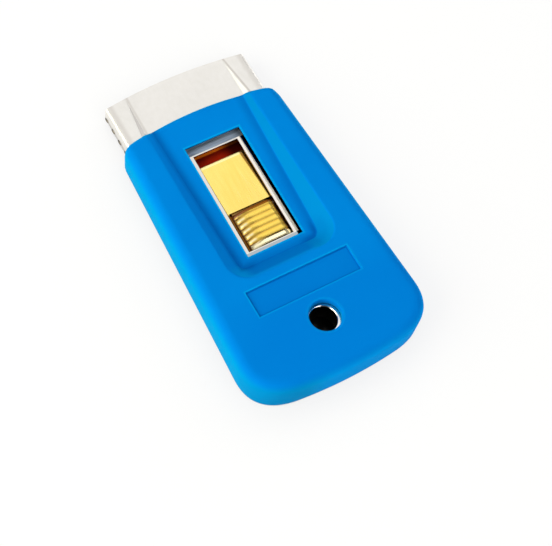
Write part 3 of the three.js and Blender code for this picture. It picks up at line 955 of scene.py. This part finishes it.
def paint_cover_light_and_shade(material):
    """Painted light and shade on the cover: pale painted highlights round the window, the panel and the
    hole, the tone of the panel, painted light on the walls, and painted shade at the panel's edge, the
    trough's feet and under the window's lip.
    """
    skin = Surface(material)
    x, y, z = skin.x, skin.y, skin.z
    far_x = skin.far(x, 0.0)
    up = skin.step(z, 5.5, 6.0)

    def outside_box(half, back, front):
        along = skin.far(y, (back + front) / 2)
        return skin.of("MAXIMUM", skin.of("SUBTRACT", far_x, half * MM),
                       skin.of("SUBTRACT", along, (front - back) / 2 * MM))

    # Painted highlights along the edges of the panel, window and hole, a painted dark line inside the
    # panel's edge, the panel's tone, and painted shade darkening the top towards the back
    panel = outside_box(PANEL_HALF, PANEL_BACK, PANEL_FRONT)
    window = outside_box(*COVER_WINDOW)
    hole = skin.of("SUBTRACT", skin.length(x, skin.of("SUBTRACT", y, HOLE_Y * MM)), COVER_HOLE * MM)
    for distance, peak, width, strength, colour in (
            (panel, 0.15, 0.35, 0.8, HIGHLIGHT_BLUE), (window, 0.3, 0.4, 0.8, HIGHLIGHT_BLUE),
            (hole, 0.5, 0.45, 0.5, HIGHLIGHT_BLUE), (panel, -0.3, 0.35, 0.75, SHADE_BLUE)):
        skin.paint(colour, skin.line(distance, peak, width, strength), up)
    skin.paint(linear(0, 100, 188), skin.fall(panel, -0.5, -0.2, 0.35))
    skin.paint(linear(0, 114, 206), skin.fall(y, -32.0, -14.0, 0.5))

    # Painted light on the outer walls, in two tones from left to right, with a little painted shade at the
    # left rear corner
    fallen = skin.of("MULTIPLY_ADD", y, WEDGE_SLOPE, z)
    outer = skin.of("MAXIMUM", skin.of("SUBTRACT", far_x, 18.5 * MM), skin.of("SUBTRACT", -38.0 * MM, y))
    outer = skin.times(skin.step(outer, 0.0, 1.5), skin.fall(fallen, TOP_LEVEL - 2.5, TOP_LEVEL - 0.25))
    rightward = skin.step(x, -14.0, -4.0)
    skin.paint(mixed(skin.tree, rightward, linear(0, 140, 202), linear(0, 146, 226)), outer)
    skin.paint(linear(0, 104, 170), skin.fall(x, -20.0, -8.0, 0.3), skin.fall(y, -43.0, -34.0), outer)

    # Shade along the foot of the trough's walls
    side = skin.of("SUBTRACT", far_x, skin.of("MULTIPLY_ADD", y, FOOT_SLOPE, FOOT_HALF * MM))
    rear = skin.of("SUBTRACT", FOOT_REAR * MM, y)
    foot = skin.of("MAXIMUM", side, rear)
    skin.paint(SHADE_BLUE, skin.band(foot, -3.2, 0.0, 0.0, 0.25, 0.42))
    skin.paint(linear(0, 70, 150), skin.band(foot, -2.0, 0.0, 0.2, 1.4, 0.3), skin.fall(x, -9.0, -6.0))
    skin.paint(SHADE_BLUE, skin.band(rear, -0.4, 0.2, 3.0, 4.4, 0.55), skin.fall(far_x, 9.0, 13.0))

    # Painted light: a tone for the trough's lit right wall, and the painted shade where its foot turns at
    # the rear
    depth = skin.of("MULTIPLY_ADD", y, -CHANNEL_SLOPE, z)
    skin.paint(linear(0, 128, 199), skin.fall(fallen, TOP_LEVEL - 0.35, TOP_LEVEL - 0.05),
               skin.step(depth, LIP_LEVEL + 0.05, LIP_LEVEL + 0.35), skin.fall(far_x, 16.2, 16.8),
               skin.step(x, 6.0, 9.0), skin.step(y, TROUGH_END - 0.5, TROUGH_END))
    out_x = skin.of("SUBTRACT", x, (TROUGH_HALF - TROUGH_CORNER) * MM)
    out_y = skin.of("SUBTRACT", (TROUGH_END + TROUGH_CORNER) * MM, y)
    reach = skin.length(skin.of("MAXIMUM", out_x, 0.0), skin.of("MAXIMUM", out_y, 0.0))
    skin.paint(linear(0, 72, 160), skin.step(reach, 0.0, 1.9, 0.0, 0.55),
               skin.step(reach, 1.95, 2.5, 1.0, 0.3), skin.fall(reach, 4.0, 6.0), skin.step(x, 5.0, 9.0),
               skin.fall(y, -10.5, -6.0))

    # Painted shade in the dark gap under the window's lip
    skin.paint(linear(0, 22, 50), skin.fall(depth, LIP_LEVEL - 0.35, LIP_LEVEL - 0.2),
               skin.fall(window, 3.0, 3.4))


def paint_ramp_light_and_shade(material):
    """Painted light and shade on the brass: a pale painted highlight along the bend, coppery red painted
    shade on the bent-down run, a painted orange reflection at its far edge, and brown painted shade at the
    sides, all darker towards the right.
    """
    skin = Surface(material)
    x, y = skin.x, skin.y
    red_from = (SLIDE_BEND + 0.15, SLIDE_BEND + 0.45)
    orange_from = (RAMP_END - 0.1, RAMP_END + 0.3)
    brass_from = (RAMP_END + 1.4, RAMP_END + 1.8)
    # A pale painted highlight along the bend
    skin.paint(linear(255, 240, 165), skin.step(y, SLIDE_BEND - 0.6, SLIDE_BEND - 0.35))
    # Brown painted shade on the rails beside the pad and along the right edge
    rails = skin.times(skin.fall(y, PLATE_REAR - 0.4, PLATE_REAR), skin.step(skin.far(x, 0.0), 5.2, 5.5))
    right_edge = skin.step(skin.of("MULTIPLY_ADD", y, 0.055, x), 6.65, 7.0, 0.0, 0.85)
    skin.paint(linear(132, 84, 26), skin.of("MAXIMUM", rails, right_edge))
    # Painted shade darker towards the right, over the coppery red run, the orange reflection at its far
    # edge and the brass beyond
    darker_right = skin.step(x, 0.5, 5.0, 1.0, 0.12)
    for run, colour in ((red_from, linear(140, 28, 9)), (orange_from, linear(255, 128, 30)),
                        (brass_from, linear(247, 206, 100))):
        skin.paint(skin.shaded(colour, darker_right), skin.step(y, *run))
    skin.set("Metallic", skin.of("SUBTRACT", 1.0, skin.band(y, *red_from, *brass_from)))
    skin.set("Specular IOR Level", 0.0)


def paint_pad_light_and_shade(material):
    """Painted light and shade on the pad: brown painted shade in its grooves, which its mesh marks, at its
    front and right; pale painted highlights on the rib ends and nose.
    """
    skin = Surface(material)
    x, y = skin.x, skin.y
    skin.set("Roughness", skin.times(skin.now("Roughness"), skin.step(y, -6.2, -5.2, 0.6, 1.0)))
    skin.set("Metallic", skin.times(skin.step(x, -4.0, 0.5, 0.3, 1.0), skin.step(x, 4.6, 5.8, 1.0, 0.3)))
    groove_shade = add(skin.tree, "ShaderNodeAttribute", attribute_name="groove_shade").outputs["Fac"]
    deep = step(skin.tree, groove_shade, 0.35, 0.8)
    top = step(skin.tree, groove_shade, 0.02, 0.2, 0.7, 0.0)
    # A pale painted highlight on the nose
    skin.paint(linear(255, 246, 214), skin.fall(y, -6.1, -5.6, 0.75))
    # Brown painted shade in the grooves, at the left edge and the front, deeper towards the left
    skin.paint(linear(158, 92, 28), groove_shade)
    skin.paint(linear(92, 50, 12), deep, skin.fall(x, -4.8, -2.6, 0.85))
    # Painted highlights on the rib tops at the left
    skin.paint(linear(255, 246, 205), top, skin.fall(x, -3.6, -2.6))
    # Brown painted shade at the pad's front and along its right edge
    skin.paint(linear(128, 64, 8), skin.step(y, 3.1, 3.4, 0.0, 0.9))
    skin.paint(linear(158, 92, 20), skin.step(x, 5.6, 6.2, 0.0, 0.75), skin.step(y, -6.1, -5.6))


def dress_window(material):
    """The steel inside the cover's window, brushed and dull in front, with painted shade in front of it and
    behind it, at its folds and creases, near the sheath's bottom and in the dark gap at its right.
    """
    skin = Surface(material)
    x, y = skin.x, skin.y
    _, back, front = STEEL_WINDOW
    ahead = skin.band(y, front + 0.3, front + 0.45, front + 4.0, front + 4.5)
    beside = skin.band(y, back - 0.3, back, front + 0.3, front + 0.45)
    # Painted shade: blue-grey in front of the window, darker towards the right, over real brushed lines
    lines = brushed_lines(skin.tree, skin.place, 1500.0, (0.04, 1.0, 0.04))
    in_shade = skin.times(skin.step(x, 5.5, 8.2, 1.0, 0.5), between(skin.tree, lines, 0.5, 1.4))
    skin.paint(skin.shaded(linear(150, 166, 190), in_shade), ahead)
    # Painted shade: grey on the strip behind the window
    skin.paint(linear(168, 176, 180), skin.band(y, back - 4.5, back - 4.0, back - 0.3, back - 0.15))
    skin.paint(linear(214, 211, 203), beside)
    # Painted shade: darker towards the bottom of the sheath
    skin.paint(linear(140, 131, 122), skin.fall(skin.z, 1.4, 3.0, 0.5))

    # Painted shade: soft dark lines at the creases and folds, and a grey wall of the left crease
    rise = CHANNEL_FLARE * (WEDGE_SLOPE + CHANNEL_SLOPE)
    crease = skin.of("MULTIPLY_ADD", y, -rise, (CHANNEL_FOOT + rise * LIP_CORNER) * MM)
    for across, place, width, strength in (
            (skin.of("SUBTRACT", x, crease), 0.4, 0.5, 0.55), (x, 0.4 - CHANNEL_FOOT, 0.6, 0.35),
            (x, SHEATH_HALF - 1.5, 1.3, 0.25), (x, 1.5 - SHEATH_HALF, 1.3, 0.3)):
        skin.paint(linear(176, 166, 156), skin.line(across, place, width, strength))
    skin.paint(linear(186, 182, 178), skin.step(skin.of("ADD", x, crease), -0.1, 0.15),
               skin.fall(x, -CHANNEL_FOOT - 0.15, 0.1 - CHANNEL_FOOT))

    # The bright rim at the window's right, and painted shadow of the cover's wall in the dark gap that
    # widens beside it towards the front
    skin.paint(linear(230, 224, 216), beside, skin.step(x, 6.6, 6.8))
    skin.paint(linear(0, 26, 76), beside, skin.step(skin.of("MULTIPLY_ADD", y, 0.016, x), 8.03, 8.23))

    # Dull in front of the window and in a strip at its right, smooth beside it and worn towards the lip
    dull = skin.of("MAXIMUM", ahead, skin.times(skin.band(x, 7.4, 7.6, 8.05, 8.25), beside))
    skin.set("Metallic", skin.of("MULTIPLY_ADD", dull, -0.8, 1.0))
    worn = skin.of("ADD", skin.step(y, front + 0.2, front + 0.4, 0.0, 3.5),
                   skin.fall(y, back - 7.0, back - 4.0))
    smoothest = 0.09
    extra = skin.of("SUBTRACT", skin.now("Roughness"), smoothest)
    skin.set("Roughness", skin.of("MULTIPLY_ADD", extra, worn, smoothest))


paint_cover_light_and_shade(finish["cover_plastic"])
dress_window(finish["sheath_steel"])
paint_ramp_light_and_shade(finish["slide_brass"])
paint_pad_light_and_shade(finish["pad_brass"])


def dress(piece, slot_name):
    piece.data.materials.clear()
    piece.data.materials.append(finish[slot_name])


def fit(piece, body, slot_name, *stands_for, finish_name=None):
    """Gives a piece its finish, its body and the solids that it stands for."""
    dress(piece, finish_name or slot_name)
    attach(piece, body)
    if stands_for:
        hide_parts(*stands_for)


fit(grip_cover(), "holder", "cover_plastic", "grip_cover")
fit(steel_sheath(), "holder", "sheath_steel", "sheath_front")
fit(edge_crimps(finish["crimp_steel"]), "holder", "sheath_steel", finish_name="crimp_steel")
fit(brass_slide(), "blade_slide", "slide_brass", "slide_plate")
fit(thumb_pad(finish["pad_brass"]), "lock_button", "slide_brass", "thumb_pad", finish_name="pad_brass")
for slot_name, names in (("sheath_steel", ("sheath_back",)), ("spring_steel", ("lock_spring",)),
                         ("blade_steel", ("blade", "blade_spine")),
                         ("slide_brass", ("blade_clip_left", "blade_clip_right", "clip_rivet_left",
                                          "clip_rivet_right"))):
    for name in names:
        dress(node[name], slot_name)


# Floor, light and camera
LAMP_DISTANCE = 0.9


def studio_floor():
    """A pale floor that shows itself nearly white, and darker only close to the object, as painted shade
    from ambient occlusion.
    """
    size = 3000.0
    floor = make_object("floor", [(-size, -size, 0), (size, -size, 0), (size, size, 0), (-size, size, 0)],
                        [(0, 1, 2, 3)], tidy=False)
    floor.location.z = -0.02 * MM
    material = bpy.data.materials.new("pale_floor")
    material.use_nodes = True
    tree = material.node_tree
    shader = tree.nodes["Principled BSDF"]
    # Painted shade: ambient occlusion darkens the floor's colour and glow close to the object
    inputs = {"Distance": 40.0 * MM, "Color": (0.93, 0.93, 0.93, 1.0)}
    open_sky = put(tree, "ShaderNodeAmbientOcclusion", inputs, samples=16).outputs
    feed(tree, shader.inputs["Roughness"], 0.9)
    feed(tree, shader.inputs["Specular IOR Level"], 0.1)
    feed(tree, shader.inputs["Base Color"], open_sky["Color"])
    glow = put(tree, "ShaderNodeEmission", {"Color": step(tree, open_sky["AO"], 0.2, 0.45)})
    rays = add(tree, "ShaderNodeLightPath").outputs
    seen = sum_of(tree, "MAXIMUM", rays["Is Camera Ray"], rays["Is Glossy Ray"])
    seen = sum_of(tree, "MAXIMUM", seen, rays["Is Transmission Ray"])
    both = put(tree, "ShaderNodeMixShader", {0: sum_of(tree, "MULTIPLY", seen, 0.85), 1: shader.outputs[0],
                                             2: glow.outputs[0]})
    tree.links.new(both.outputs[0], tree.nodes["Material Output"].inputs["Surface"])
    floor.data.materials.append(material)


def studio_world(low, high):
    """A soft dome, brightest at the horizon, where the floor goes over into the backdrop."""
    world = bpy.data.worlds.new("studio")
    bpy.context.scene.world = world
    world.use_nodes = True
    tree = world.node_tree
    place = add(tree, "ShaderNodeTexCoord").outputs["Generated"]
    parts = put(tree, "ShaderNodeSeparateXYZ", {0: place}).outputs
    back = tree.nodes["Background"]
    feed(tree, back.inputs["Color"], (1.0, 1.0, 1.0, 1.0))
    feed(tree, back.inputs["Strength"], step(tree, parts["Z"], 0.0, 0.36, low, high))


def direction(azimuth, elevation):
    """The way from the object to a lamp or the camera, with angles in degrees."""
    a, e = math.radians(azimuth), math.radians(elevation)
    return Vector((math.sin(a) * math.cos(e), -math.cos(a) * math.cos(e), math.sin(e)))


def soft_box(name, azimuth, elevation, size, power, colour=(1.0, 1.0, 1.0)):
    lamp = bpy.data.lights.new(name, "AREA")
    lamp.shape = "DISK"
    lamp.size = size
    lamp.energy = power
    lamp.color = colour
    made = bpy.data.objects.new(name, lamp)
    away = direction(azimuth, elevation)
    made.location = away * LAMP_DISTANCE
    made.rotation_euler = away.to_track_quat("Z", "Y").to_euler()
    bpy.context.scene.collection.objects.link(made)


def photo_camera():
    """The camera that was fitted to the photo."""
    away = direction(-42.21, 64.48)
    roll = math.radians(14.04)
    distance = 331.7 * MM
    target = Vector((-1.94, -14.36, 0.0)) * MM
    level_right = (-away).cross(Vector((0, 0, 1))).normalized()
    level_up = level_right.cross(-away)
    right = math.cos(roll) * level_right + math.sin(roll) * level_up
    up = -math.sin(roll) * level_right + math.cos(roll) * level_up
    camera = bpy.data.objects.new("camera", bpy.data.cameras.new("camera"))
    camera.data.sensor_width = 36.0
    camera.data.lens = 81.52
    camera.data.clip_start = 0.01
    turn = Matrix((right, up, away)).transposed().to_4x4()
    camera.matrix_world = Matrix.Translation(target + away * distance) @ turn
    bpy.context.scene.collection.objects.link(camera)
    bpy.context.scene.camera = camera


studio_floor()
studio_world(0.8, 0.05)
soft_box("left_light", -95.0, 28.0, 0.9, 11.0, (1.0, 0.99, 0.82))
soft_box("right_light", 103.0, 21.0, 0.6, 2.4)
soft_box("front_light", -140.0, 53.0, 0.55, 0.85)
soft_box("back_light", 8.0, 20.0, 0.6, 2.0)
soft_box("top_light", 151.0, 54.0, 0.85, 2.0)
soft_box("rear_light", 8.0, 49.0, 0.66, 1.6)
photo_camera()
bpy.context.scene.view_settings.view_transform = "Standard"
